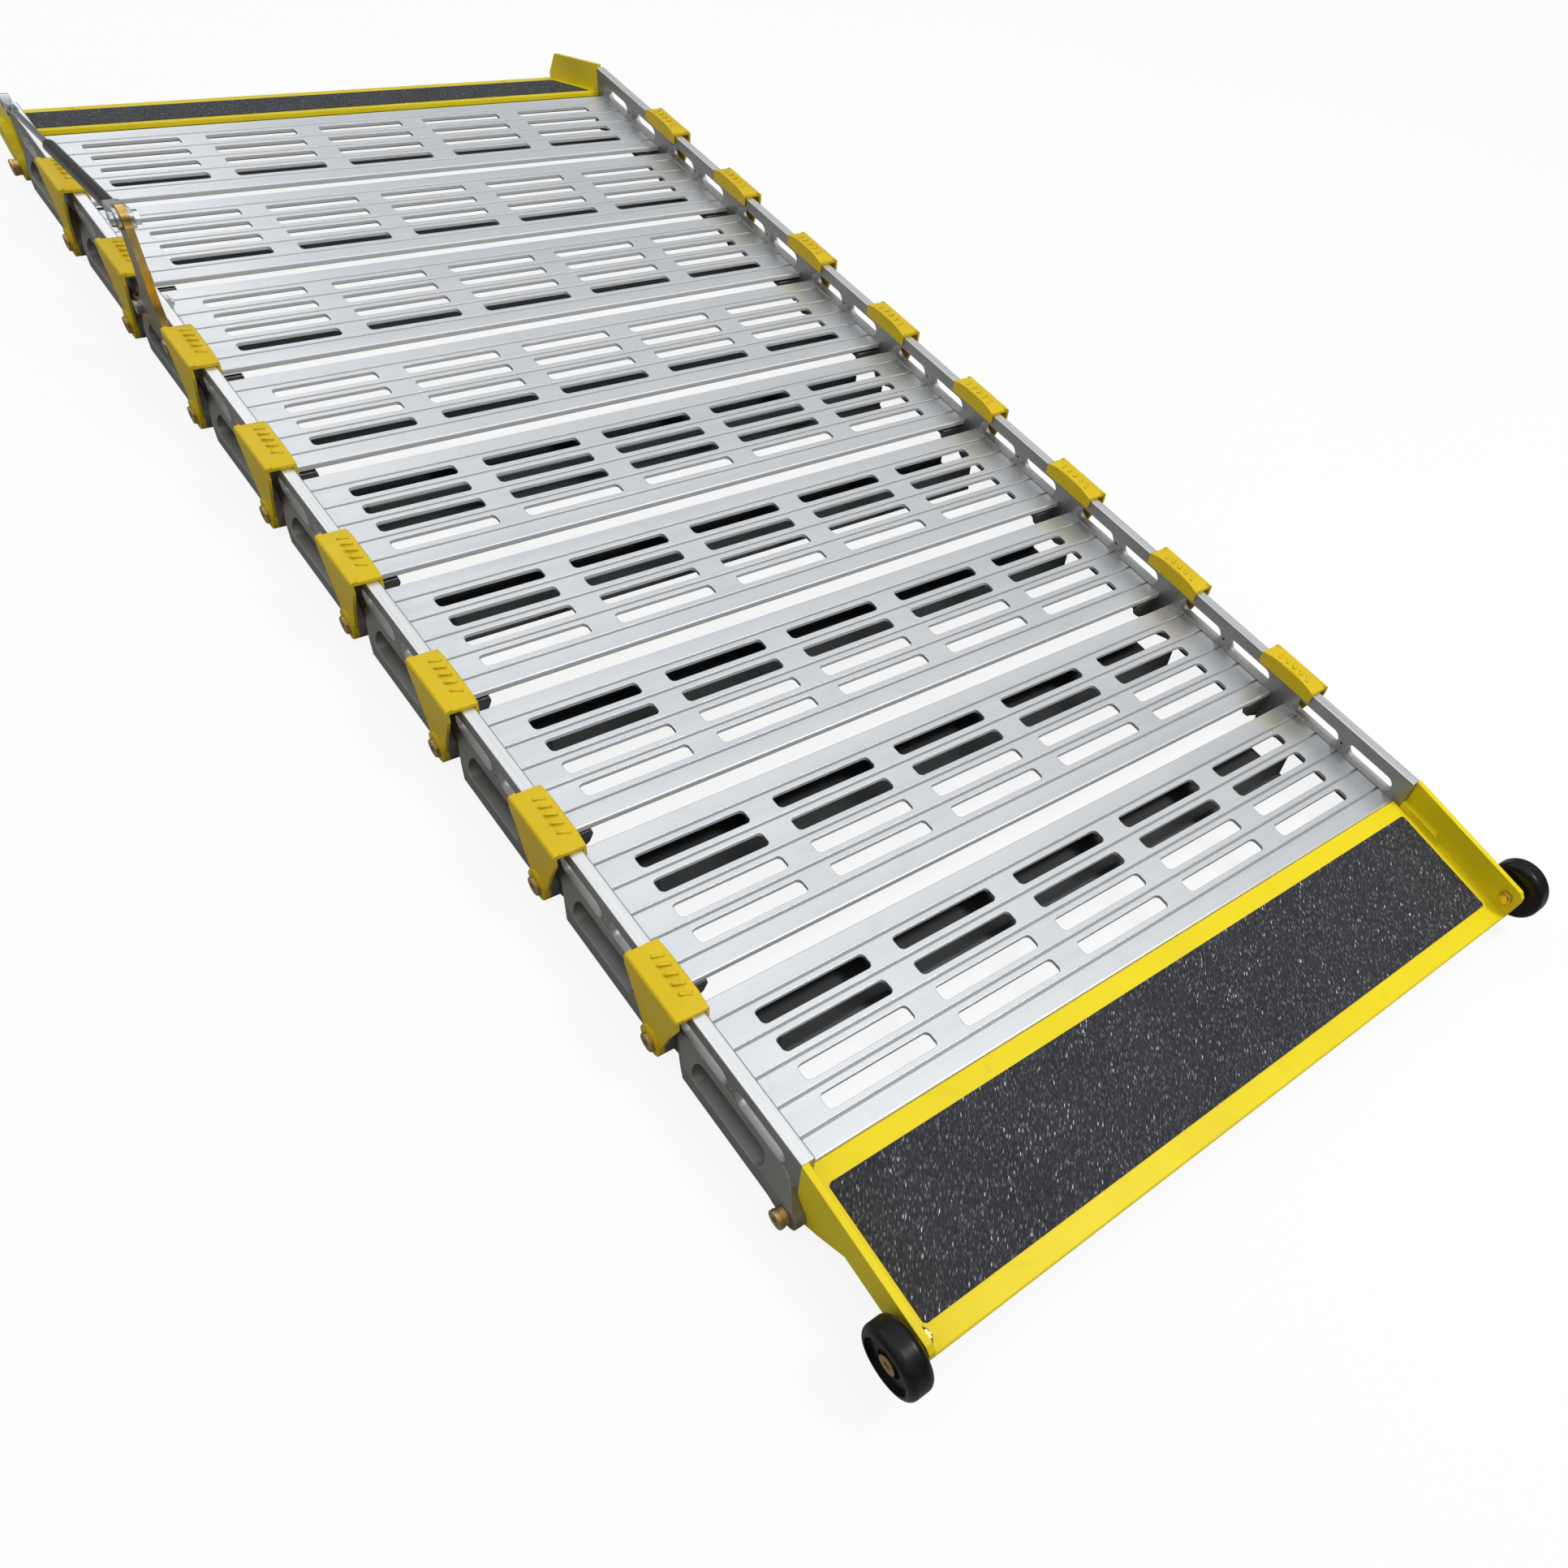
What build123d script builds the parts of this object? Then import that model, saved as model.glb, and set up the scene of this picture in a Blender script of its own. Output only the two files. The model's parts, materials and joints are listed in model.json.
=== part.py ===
from build123d import *
import math
import os

# Folding loading ramp: nine hinged links, an approach plate on two wheels and a far end plate.
# Frame: x = 0 on the centreline, y = 0 halfway along the footprint, z = 0 on the floor.
# Side geometry is drawn as (v, w): v along the ramp from a hinge pin, w up from the pin axis,
# and u outwards from the outer face of a rail.

links = 9
pitch = 190.0
width = 785.0
half_w = width / 2
pin_z = 15.0

rail_t = 12.7
rail_top = 73.0
deck_top = 38.0
butt_gap = 0.15
side_gap = 0.3
lug_t = 9.5
lug_r = 15.0
lug_clear = 15.5
rail_low = -8.0
bore_r = 6.05
shoulder_r = 6.0
thread_hole_r = 5.0
thread_r = 4.95

plank_len = 168.7
skin_t = 4.0
rib_depth = 3.0
edge_depth = 2.0
groove_w = 3.0
box_half = 328.0
box_depth = 37.0
box_links = 5
web_t = 3.0
web_half = 366.0
web_depth = 20.0
groove_pitch = 31.4
slot_len = 110.0
slot_wide = 17.0
slot_step = 140.75

cap_half = 39.0
cap_t = 3.0
cap_in = side_gap + lug_t + side_gap
cap_out = cap_in + cap_t
boss_out = cap_out + 2.5
head_r = 9.0
head_t = 3.9

flange_t = 6.0
tray_t = 5.0
tray_clear = 0.5
near_len = 156.0
far_len = 170.0
stop_deg = 7.4
tape_len = 129.0
tape_edge = 5.0
tape_wide = 748.0
tape_t = 1.0

wheel_r = 32.0
wheel_t = 22.6
wheel_v = -141.0
wheel_w = 57.0
wheel_in = 4.6
axle_r = 5.0

bracket_t = 8.0
bracket_v = (53.0, 137.0)
bracket_w = 48.0
pivot_v = 76.0
pivot_w = 171.0
pivot_r = 13.0
strut_len = 453.4
strut_drop = 10.2
tube_r = 7.2
rod_r = 3.5

# The approach plate rests on its upper stop, and the far plate with its edge on the floor.
near_tilt = 7.6
tray_low = deck_top - tray_t
far_tilt = math.degrees(
    math.atan2(tray_low, far_len) + math.asin(pin_z / math.hypot(far_len, tray_low))
)


def turned_y(v, w, deg):
    """The y of a point (v, w) of a frame pitched by deg about a hinge pin."""
    return v * math.cos(math.radians(deg)) - w * math.sin(math.radians(deg))


near_reach = wheel_r - turned_y(wheel_v, wheel_w, near_tilt)
far_reach = max(turned_y(v, w, -far_tilt) for v, w in [(far_len, deck_top), (168.0, 45.0), (138.0, 73.0)])
first_y = (near_reach - links * pitch - far_reach) / 2


def hinge_y(i):
    """The y of hinge pin i: 0 joins the approach plate, 9 the far plate."""
    return first_y + i * pitch


def side_plane(side, u, y, tilt=0.0):
    """Upright plane across the ramp at u outside the rail; its x runs along the ramp, its y up."""
    a = math.radians(tilt)
    return Plane(
        origin=(side * (half_w + u), y, pin_z),
        x_dir=(0, math.cos(a), math.sin(a)),
        z_dir=(1, 0, 0),
    )


def section_plane(side, y, tilt=0.0):
    """Plane square to the ramp at y; its x runs outwards from the rail, its y up."""
    a = math.radians(tilt)
    return Plane(
        origin=(side * half_w, y, pin_z),
        x_dir=(side, 0, 0),
        z_dir=(0, -side * math.cos(a), -side * math.sin(a)),
    )


def deck(k):
    """One slotted and grooved deck plank: edge lips, ribs, and a far box or a near web below."""
    mid = hinge_y(k - 1) + pitch / 2
    far = plank_len / 2
    long = width - 2 * rail_t
    with BuildPart() as plank:
        with BuildSketch(Plane((0, mid, pin_z + deck_top))):
            Rectangle(long, plank_len)
        extrude(amount=-skin_t)
        fillet(plank.edges().filter_by(Axis.X).group_by(Axis.Z)[-1], 1.5)
        with BuildSketch(Plane((0, mid, pin_z + deck_top - skin_t))):
            with GridLocations(0, groove_pitch, 1, 5):
                Rectangle(long, 5.0)
        extrude(amount=-rib_depth)
        with BuildSketch(Plane((0, mid, pin_z + deck_top - skin_t))):
            with GridLocations(0, plank_len - 4.0, 1, 2):
                Rectangle(long, 4.0)
        extrude(amount=-edge_depth)
        half = box_half if k <= box_links else web_half
        with BuildSketch(Plane((-half, mid, pin_z + deck_top), x_dir=(0, 1, 0), z_dir=(1, 0, 0))):
            if k <= box_links:
                Polygon(
                    (26, -skin_t), (26 + web_t, -skin_t), (26 + web_t, -box_depth + web_t),
                    (far - web_t, -box_depth + web_t), (far - web_t, -skin_t), (far, -skin_t),
                    (far, -box_depth), (23, -box_depth), (23, -box_depth + web_t),
                    (26, -box_depth + web_t), align=None,
                )
            else:
                Polygon(
                    (-33, -skin_t), (-33 + web_t, -skin_t), (-33 + web_t, -web_depth),
                    (-33, -web_depth), align=None,
                )
        extrude(amount=2 * half)
        with BuildSketch(Plane((0, mid, pin_z + deck_top))):
            with GridLocations(slot_step, groove_pitch, 5, 4):
                RectangleRounded(slot_len, slot_wide, 5.0)
        extrude(amount=-skin_t, mode=Mode.SUBTRACT)
        with BuildSketch(Plane((0, mid, pin_z + deck_top))):
            with GridLocations(0, groove_pitch, 1, 5):
                Rectangle(long, groove_w)
        extrude(amount=-1.2, mode=Mode.SUBTRACT)
    return plank.part


def side_rail(side, k):
    """One side rail of a link: curb, windows, inboard far lug and outboard near lug."""
    y = hinge_y(k - 1)
    pad_t = side_gap + lug_t
    with BuildPart() as rail:
        # Lower half, which slopes outwards to the near lug.
        with BuildSketch(side_plane(side, 0, y)):
            Polygon(
                (-9, 12), (5, 30), (18, 38), (160, 38), (173, 28), (173, 6),
                (160, rail_low), (24, rail_low), (18, -10), (9, -12), align=None,
            )
            Circle(lug_r)
        extrude(amount=side * pad_t)
        with BuildSketch(section_plane(side, y + pitch / 2)):
            Polygon((0, 38.5), (pad_t + 0.5, 12), (pad_t + 0.5, 39), align=None)
        extrude(amount=pitch, both=True, mode=Mode.SUBTRACT)
        with BuildSketch(Plane((side * half_w, y, pin_z - 15), x_dir=(side, 0, 0), z_dir=(0, 0, 1))):
            Polygon((0, side * 174), (pad_t + 0.5, side * 174), (pad_t + 0.5, side * 148), align=None)
        extrude(amount=60, mode=Mode.SUBTRACT)
        with BuildSketch(side_plane(side, 0, y)):
            Circle(26)
        extrude(amount=side * side_gap, mode=Mode.SUBTRACT)
        # Web in the plane of the curb.
        with BuildSketch(side_plane(side, -rail_t, y)):
            Polygon(
                (butt_gap, rail_top), (butt_gap, 12), (12, 0), (20, rail_low),
                (pitch - 22, rail_low), (pitch - 7.5, -13), (pitch - butt_gap, 0),
                (pitch - butt_gap, rail_top), align=None,
            )
            with Locations((pitch, 0)):
                Circle(lug_r)
            Circle(lug_clear, mode=Mode.SUBTRACT)
            with Locations((54, 49), (134.5, 49)):
                SlotOverall(69, 19, mode=Mode.SUBTRACT)
            with Locations((94.5, 50)):
                Circle(2.0, mode=Mode.SUBTRACT)
        extrude(amount=side * rail_t)
        fillet(rail.edges().filter_by(Axis.Y).group_by(Axis.Z)[-1], 1.5)
        # Corner gusset that stiffens the near end under the plank.
        with BuildSketch(section_plane(side, y + 12)):
            Polygon(
                (-rail_t, 27.5), (-45, 27.5), (-46, 22), (-42, 13), (-35, 8), (-rail_t, 8), align=None,
            )
        extrude(amount=-side * 5)
        with BuildSketch(side_plane(side, -rail_t, y)):
            with Locations((88, 22)):
                SlotOverall(102, 20)
        extrude(amount=side * (rail_t + pad_t), mode=Mode.SUBTRACT)
        with BuildSketch(side_plane(side, 0, y)):
            Circle(bore_r)
        extrude(amount=side * pad_t, mode=Mode.SUBTRACT)
        with BuildSketch(side_plane(side, -rail_t, y)):
            with Locations((pitch, 0)):
                Circle(thread_hole_r)
        extrude(amount=side * rail_t, mode=Mode.SUBTRACT)
    return rail.part


def hinge_caps(i):
    """The two saddle caps over hinge i: arched top with raised ribs, inner lip, flange and boss."""
    y = hinge_y(i)
    with BuildPart() as caps:
        for side in (-1, 1):
            with BuildSketch(section_plane(side, y)):
                Polygon(
                    (cap_out, 66), (cap_out, 75.5), (cap_out - 1.6, 77.2), (-12, 82.6), (-14.6, 82.4),
                    (-16.2, 80.8), (-16.2, 63.5), (-13.1, 63.5), (-13.1, 73.3), (cap_in, 73.3),
                    (cap_in, 66), align=None,
                )
            extrude(amount=cap_half, both=True)
            with BuildSketch(side_plane(side, -20, y)):
                with BuildLine():
                    arch = ThreePointArc((-60, 67.9), (0, 82.8), (60, 67.9))
                    Polyline(arch @ 1, (60, 95), (-60, 95), arch @ 0)
                make_face()
            extrude(amount=side * 26.5, mode=Mode.SUBTRACT)
            with BuildSketch(side_plane(side, cap_in, y)):
                Polygon(
                    (-cap_half, 74), (-cap_half, 64), (-27, 38), (-14.2, 5),
                    (14.2, 5), (27, 38), (cap_half, 64), (cap_half, 74), align=None,
                )
                Circle(lug_r)
            extrude(amount=side * cap_t)
            with BuildSketch(side_plane(side, cap_in, y)):
                Circle(lug_r)
            extrude(amount=side * (boss_out - cap_in))
            with BuildSketch(Plane((side * (half_w - 6.5), y, pin_z + 76))):
                for n in range(-2, 3):
                    with Locations((0, 10.5 * n)):
                        Rectangle(10, 3.2, rotation=25 * side)
            extrude(amount=10)
            with BuildSketch(side_plane(side, -20, y)):
                with BuildLine():
                    arch = ThreePointArc((-60, 68.7), (0, 83.6), (60, 68.7))
                    Polyline(arch @ 1, (60, 95), (-60, 95), arch @ 0)
                make_face()
            extrude(amount=side * 26.5, mode=Mode.SUBTRACT)
            with BuildSketch(side_plane(side, cap_in, y)):
                Circle(bore_r)
            extrude(amount=side * (boss_out - cap_in), mode=Mode.SUBTRACT)
    return caps.part


def hinge_bolts(i):
    """The two shoulder bolts of hinge i; the end hinges carry a collar in place of a cap."""
    y = hinge_y(i)
    with BuildPart() as bolts:
        for side in (-1, 1):
            with BuildSketch(side_plane(side, -rail_t, y)):
                Circle(thread_r)
            extrude(amount=side * rail_t)
            with BuildSketch(side_plane(side, 0, y)):
                Circle(shoulder_r)
            extrude(amount=side * boss_out)
            if i in (0, links):
                with BuildSketch(side_plane(side, cap_in, y)):
                    Circle(8.5)
                extrude(amount=side * (boss_out - cap_in))
            with BuildSketch(side_plane(side, boss_out, y)):
                Circle(head_r)
            extrude(amount=side * head_t)
            with BuildSketch(side_plane(side, boss_out + head_t, y)):
                RegularPolygon(3.6, 6)
            extrude(amount=-side * 2.6, mode=Mode.SUBTRACT)
        rims = bolts.faces().filter_by(Axis.X).sort_by(Axis.X)
        chamfer([rims[0].outer_wire().edges(), rims[-1].outer_wire().edges()], 0.6)
    return bolts.part


def approach_plate():
    """Near end plate: tray between two side flanges, with an inboard lug on each side."""
    y = hinge_y(0)
    slope = math.tan(math.radians(stop_deg))
    with BuildPart() as plate:
        with BuildSketch(side_plane(-1, 0, y, near_tilt)):
            Polygon(
                (-near_len, tray_low), (-near_len, deck_top - 1.5), (-near_len + 1.5, deck_top),
                (-9, deck_top), (-9, 20), (-13, 20), (-13, tray_low), align=None,
            )
        extrude(amount=width)
        with BuildSketch(side_plane(-1, -rail_t - tray_clear, y, near_tilt)):
            Polygon((-13, tray_low), (-13, deck_top), (14, deck_top), (14, tray_low), align=None)
        extrude(amount=width - 2 * (rail_t + tray_clear))
        for side in (-1, 1):
            with BuildSketch(side_plane(side, -flange_t, y, near_tilt)):
                Polygon(
                    (-near_len, tray_low), (-near_len, 61), (-154, 68), (-148, rail_top),
                    (rail_top * slope - 0.1, rail_top), (25 * slope - 0.1, 25),
                    (-20, 12), (-52, tray_low), align=None,
                )
                with Locations((wheel_v, wheel_w)):
                    Circle(axle_r, mode=Mode.SUBTRACT)
            extrude(amount=side * flange_t)
            with BuildSketch(side_plane(side, -rail_t, y, near_tilt)):
                Polygon(
                    (-58, tray_low), (-44, 46), (46 * slope - 0.1, 46), (15 * slope - 0.1, 15),
                    (0, 0), (-12, -9), (-28, 4), align=None,
                )
                Circle(lug_r)
                Circle(thread_hole_r, mode=Mode.SUBTRACT)
            extrude(amount=side * rail_t)
    return plate.part


def far_plate():
    """Far end plate: tray, side flanges, outboard lugs and two fixing holes."""
    y = hinge_y(links)
    slope = math.tan(math.radians(stop_deg))
    pad_t = side_gap + lug_t
    with BuildPart() as plate:
        with BuildSketch(side_plane(-1, 0, y, -far_tilt)):
            Polygon(
                (far_len, tray_low), (far_len, deck_top - 1.5), (far_len - 1.5, deck_top),
                (9, deck_top), (9, 20), (13, 20), (13, tray_low), align=None,
            )
        extrude(amount=width)
        with BuildSketch(side_plane(-1, -rail_t - tray_clear, y, -far_tilt)):
            Polygon((13, tray_low), (13, deck_top), (-14, deck_top), (-14, tray_low), align=None)
        extrude(amount=width - 2 * (rail_t + tray_clear))
        for side in (-1, 1):
            with BuildSketch(side_plane(side, 0, y, -far_tilt)):
                Polygon((-7, 13), (8, 34), (22, 46), (60, 46), (60, 36), (24, 2), (11, -10), align=None)
                Circle(lug_r)
            extrude(amount=side * pad_t)
            with BuildSketch(side_plane(side, 0, y, -far_tilt)):
                Circle(30)
            extrude(amount=side * side_gap, mode=Mode.SUBTRACT)
            with BuildSketch(side_plane(side, -flange_t, y, -far_tilt)):
                Polygon(
                    (far_len, tray_low), (168, 45), (138, rail_top),
                    (-rail_top * slope + 0.1, rail_top), (-20 * slope + 0.1, 20),
                    (18, 6), (30, 8), (56, tray_low), align=None,
                )
                Circle(lug_clear, mode=Mode.SUBTRACT)
            extrude(amount=side * flange_t)
            with BuildSketch(side_plane(side, 0, y, -far_tilt)):
                Circle(bore_r)
            extrude(amount=side * pad_t, mode=Mode.SUBTRACT)
        a = math.radians(far_tilt)
        for x in (-300, 300):
            top = (
                x,
                y + turned_y(far_len - 16, deck_top, -far_tilt),
                pin_z - (far_len - 16) * math.sin(a) + deck_top * math.cos(a),
            )
            with BuildSketch(Plane(top, x_dir=(1, 0, 0), z_dir=(0, math.sin(a), math.cos(a)))):
                Circle(4.5)
            extrude(amount=-2 * tray_t, both=True, mode=Mode.SUBTRACT)
    return plate.part


def grip_tape(y, low, tilt):
    """Grip tape on a tray, from low to low + tape_len along it."""
    with BuildPart() as tape:
        with BuildSketch(side_plane(-1, -(width - tape_wide) / 2, y, tilt)):
            with Locations((low + tape_len / 2, deck_top + tape_t / 2)):
                Rectangle(tape_len, tape_t)
        extrude(amount=tape_wide)
    return tape.part


def wheel(side):
    """Crowned roller with a recessed hub and a plain bore."""
    plane = side_plane(side, wheel_in, hinge_y(0), near_tilt)
    hub = side_plane(side, wheel_in + wheel_t, hinge_y(0), near_tilt)
    with BuildPart() as roller:
        with BuildSketch(plane):
            with Locations((wheel_v, wheel_w)):
                Circle(wheel_r)
        extrude(amount=side * wheel_t)
        fillet(roller.edges(), 6.5)
        with BuildSketch(hub):
            with Locations((wheel_v, wheel_w)):
                Circle(24.5)
        extrude(amount=-side * 3.6, mode=Mode.SUBTRACT)
        with BuildSketch(hub):
            with Locations((wheel_v, wheel_w)):
                Circle(12.5)
        extrude(amount=-side * 5.6, mode=Mode.SUBTRACT)
        with BuildSketch(plane):
            with Locations((wheel_v, wheel_w)):
                Circle(axle_r + 0.05)
        extrude(amount=side * wheel_t, mode=Mode.SUBTRACT)
    return roller.part


def wheel_bolts():
    """The two shoulder bolts that carry the wheels."""
    y = hinge_y(0)
    head_u = wheel_in + wheel_t - 5.4
    with BuildPart() as bolts:
        for side in (-1, 1):
            for u, r, long in [
                (-flange_t - 6.5, thread_r, flange_t + 6.5), (0, 8.0, wheel_in - 0.2),
                (0, axle_r, head_u), (head_u, head_r, 3.8),
            ]:
                with BuildSketch(side_plane(side, u, y, near_tilt)):
                    with Locations((wheel_v, wheel_w)):
                        Circle(r)
                extrude(amount=side * long)
            with BuildSketch(side_plane(side, head_u + 3.8, y, near_tilt)):
                with Locations((wheel_v, wheel_w)):
                    RegularPolygon(3.6, 6)
            extrude(amount=-side * 2.6, mode=Mode.SUBTRACT)
    return bolts.part


def wheel_nuts():
    """The two hexagon nuts inside the flanges."""
    with BuildPart() as nuts:
        for side in (-1, 1):
            with BuildSketch(side_plane(side, -flange_t - 5, hinge_y(0), near_tilt)):
                with Locations((wheel_v, wheel_w)):
                    RegularPolygon(7.6, 6)
                    Circle(thread_r + 0.05, mode=Mode.SUBTRACT)
            extrude(amount=side * 5)
    return nuts.part


def strut_bracket():
    """Upright bracket bolted to the left rail of link 7, with a curved arm up to the pivot."""
    with BuildPart() as bracket:
        with BuildSketch(side_plane(-1, 0, hinge_y(6))):
            with BuildLine():
                low = Polyline((44, 58), (42, 54), (42, 42), (45, 39), (147, 39), (150, 42), (150, 56))
                foot = ThreePointArc(low @ 1, (108, 80), (91, 124))
                far = Line(foot @ 1, (pivot_v + 12.4, pivot_w - 3.9))
                top = ThreePointArc(far @ 1, (pivot_v, pivot_w + pivot_r), (pivot_v - 12.4, pivot_w - 3.9))
                near = Line(top @ 1, (62, 112))
                ThreePointArc(near @ 1, (58, 80), low @ 0)
            make_face()
            with Locations((pivot_v, pivot_w)):
                Circle(4.05, mode=Mode.SUBTRACT)
            with Locations(*[(v, bracket_w) for v in bracket_v]):
                Circle(4.0, mode=Mode.SUBTRACT)
        extrude(amount=-bracket_t)
    return bracket.part


def bracket_bolts():
    """The two bolts, each with its nut, that clamp the bracket through the rail windows."""
    y = hinge_y(6)
    spots = [(v, bracket_w) for v in bracket_v]
    with BuildPart() as bolts:
        with BuildSketch(side_plane(-1, bracket_t, y)):
            with Locations(*spots):
                Circle(7.0)
        extrude(amount=-4.5)
        with BuildSketch(side_plane(-1, bracket_t + 4.5, y)):
            with Locations(*spots):
                RegularPolygon(3.0, 6)
        extrude(amount=2.5, mode=Mode.SUBTRACT)
        with BuildSketch(side_plane(-1, -rail_t - 13, y)):
            with Locations(*spots):
                Circle(3.95)
        extrude(amount=-(rail_t + 13 + bracket_t))
        with BuildSketch(side_plane(-1, -rail_t - 10.5, y)):
            with Locations(*spots):
                RegularPolygon(7.5, 6)
        extrude(amount=-6.5)
    return bolts.part


def bracket_backing_plate():
    """Strip inside the rail that the bracket bolts pull against."""
    with BuildPart() as strip:
        with BuildSketch(side_plane(-1, -rail_t - 4, hinge_y(6))):
            with Locations((95, bracket_w)):
                SlotOverall(118, 18)
            with Locations(*[(v, bracket_w) for v in bracket_v]):
                Circle(4.0, mode=Mode.SUBTRACT)
        extrude(amount=-4)
    return strip.part


def strut_plane(out, s=0.0):
    """Plane through the strut, out from its middle; its x runs along the strut from the pivot."""
    a = math.radians(strut_drop)
    x = -(half_w + bracket_t / 2 + out)
    y = hinge_y(6) + pivot_v + s * math.cos(a)
    z = pin_z + pivot_w - s * math.sin(a)
    return Plane(origin=(x, y, z), x_dir=(0, math.cos(a), -math.sin(a)), z_dir=(1, 0, 0))


def cross_plane(s):
    """Plane square to the strut, at s along it from the pivot, facing the far end."""
    a = math.radians(strut_drop)
    middle = strut_plane(0, s).origin
    return Plane(origin=middle, x_dir=(1, 0, 0), z_dir=(0, math.cos(a), -math.sin(a)))


def strut_clevis():
    """Fork that straddles the bracket arm."""
    with BuildPart() as fork:
        for out in (4.1, -8.1):
            with BuildSketch(strut_plane(out)):
                Circle(10)
                with Locations((14, 0)):
                    Rectangle(28, 17)
                Circle(4.05, mode=Mode.SUBTRACT)
            extrude(amount=-4)
        with BuildSketch(cross_plane(20)):
            RectangleRounded(16.2, 17, 2)
        extrude(amount=14)
    return fork.part


def strut_clevis_pin():
    """Headed pin through the fork and the arm, with its nut."""
    with BuildPart() as pin:
        with BuildSketch(strut_plane(-13)):
            Circle(4.0)
        extrude(amount=-25.5)
        with BuildSketch(strut_plane(8.3)):
            Circle(7.0)
        extrude(amount=-4.2)
        with BuildSketch(strut_plane(-14.0)):
            RegularPolygon(7.2, 6)
        extrude(amount=-5.6)
    return pin.part


def strut_tube():
    """Cylinder of the strut: closed at the fork end, with a gland at the other."""
    with BuildPart() as tube:
        with BuildSketch(cross_plane(34)):
            Circle(5.5)
        extrude(amount=6)
        with BuildSketch(cross_plane(40)):
            Circle(tube_r)
        extrude(amount=230)
        fillet(tube.faces().sort_by(Axis.Y)[-1].edges(), 2.0)
        with BuildSketch(cross_plane(50)):
            Circle(tube_r - 1.5)
        extrude(amount=212, mode=Mode.SUBTRACT)
        with BuildSketch(cross_plane(262)):
            Circle(rod_r + 0.05)
        extrude(amount=8, mode=Mode.SUBTRACT)
    return tube.part


def strut_rod():
    """Piston and rod, ending in an eye."""
    with BuildPart() as rod:
        with BuildSketch(cross_plane(250)):
            Circle(tube_r - 1.55)
        extrude(amount=11)
        with BuildSketch(cross_plane(261)):
            Circle(rod_r)
        extrude(amount=strut_len - 261 - 6)
        with BuildSketch(strut_plane(5, strut_len)):
            Circle(11)
        extrude(amount=10)
        with BuildSketch(cross_plane(strut_len - 26)):
            Circle(5.5)
        extrude(amount=18)
        with BuildSketch(strut_plane(-6, strut_len)):
            Circle(4.05)
        extrude(amount=-12, mode=Mode.SUBTRACT)
        with BuildSketch(strut_plane(6, strut_len)):
            Circle(4.05)
        extrude(amount=12, mode=Mode.SUBTRACT)
    return rod.part


pieces = {}
for k in range(1, links + 1):
    pieces[f"link_{k}_deck"] = deck(k)
    pieces[f"link_{k}_left_rail"] = side_rail(-1, k)
    pieces[f"link_{k}_right_rail"] = side_rail(1, k)
for i in range(1, links):
    pieces[f"hinge_caps_{i}"] = hinge_caps(i)
for i in range(links + 1):
    pieces[f"hinge_bolts_{i}"] = hinge_bolts(i)
pieces["approach_plate"] = approach_plate()
pieces["approach_grip_tape"] = grip_tape(hinge_y(0), -tape_edge - tape_len, near_tilt)
pieces["left_wheel"] = wheel(-1)
pieces["right_wheel"] = wheel(1)
pieces["wheel_bolts"] = wheel_bolts()
pieces["wheel_nuts"] = wheel_nuts()
pieces["far_plate"] = far_plate()
pieces["far_grip_tape"] = grip_tape(hinge_y(links), tape_edge, -far_tilt)
pieces["strut_bracket"] = strut_bracket()
pieces["bracket_bolts"] = bracket_bolts()
pieces["bracket_backing_plate"] = bracket_backing_plate()
pieces["strut_clevis"] = strut_clevis()
pieces["strut_clevis_pin"] = strut_clevis_pin()
pieces["strut_tube"] = strut_tube()
pieces["strut_rod"] = strut_rod()

os.makedirs("parts", exist_ok=True)
for name, piece in pieces.items():
    piece.label = name
    export_step(piece, f"parts/{name}.step")
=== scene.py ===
import json
import math
import random
import bmesh
import bpy
from mathutils import Matrix, Vector


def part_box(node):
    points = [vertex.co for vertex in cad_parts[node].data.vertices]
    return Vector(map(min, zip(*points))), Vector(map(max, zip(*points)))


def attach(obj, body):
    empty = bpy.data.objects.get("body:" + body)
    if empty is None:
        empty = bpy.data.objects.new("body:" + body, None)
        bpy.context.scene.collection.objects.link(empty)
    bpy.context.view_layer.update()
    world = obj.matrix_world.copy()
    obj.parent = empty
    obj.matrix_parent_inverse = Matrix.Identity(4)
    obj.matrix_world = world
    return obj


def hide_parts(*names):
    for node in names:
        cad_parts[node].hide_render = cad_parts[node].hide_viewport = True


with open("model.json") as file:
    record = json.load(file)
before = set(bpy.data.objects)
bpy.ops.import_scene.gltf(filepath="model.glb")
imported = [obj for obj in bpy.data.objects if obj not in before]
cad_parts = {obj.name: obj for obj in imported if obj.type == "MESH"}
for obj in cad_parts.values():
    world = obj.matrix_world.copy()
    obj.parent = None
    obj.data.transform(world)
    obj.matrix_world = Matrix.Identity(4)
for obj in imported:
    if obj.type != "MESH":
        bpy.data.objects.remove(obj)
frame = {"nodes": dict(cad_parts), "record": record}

random.seed(7)
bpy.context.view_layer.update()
nodes = frame["nodes"]
record = frame["record"]
joints = {j["name"]: j for j in record["behaviour"]["joints"]}
slots = {s["node"]: s["material_slot"] for s in record["subparts"]}
scene = bpy.context.scene


# ---------------------------------------------------------------- measures (metres)

LINKS = sum(name.endswith("_deck") for name in nodes)
END_HINGES = {0: "approach_hinge", LINKS: "far_plate_hinge"}


def pin(i):
    """(y, z) of hinge pin i: pin 0 joins the approach plate, the last one the far plate."""
    _, y, z = joints[END_HINGES.get(i, f"link_{i}_hinge")]["pos_m"]
    return y, z


PITCH = pin(2)[0] - pin(1)[0]
PIN_Z = pin(1)[1]
RAIL_T = 0.0127
LUG_R = 0.015
DECK_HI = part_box("link_5_deck")[1]
DECK_TOP = DECK_HI.z
HALF_W = DECK_HI.x + RAIL_T
RAIL_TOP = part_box("link_5_left_rail")[1].z
CAP_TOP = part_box("hinge_caps_4")[1].z

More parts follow.
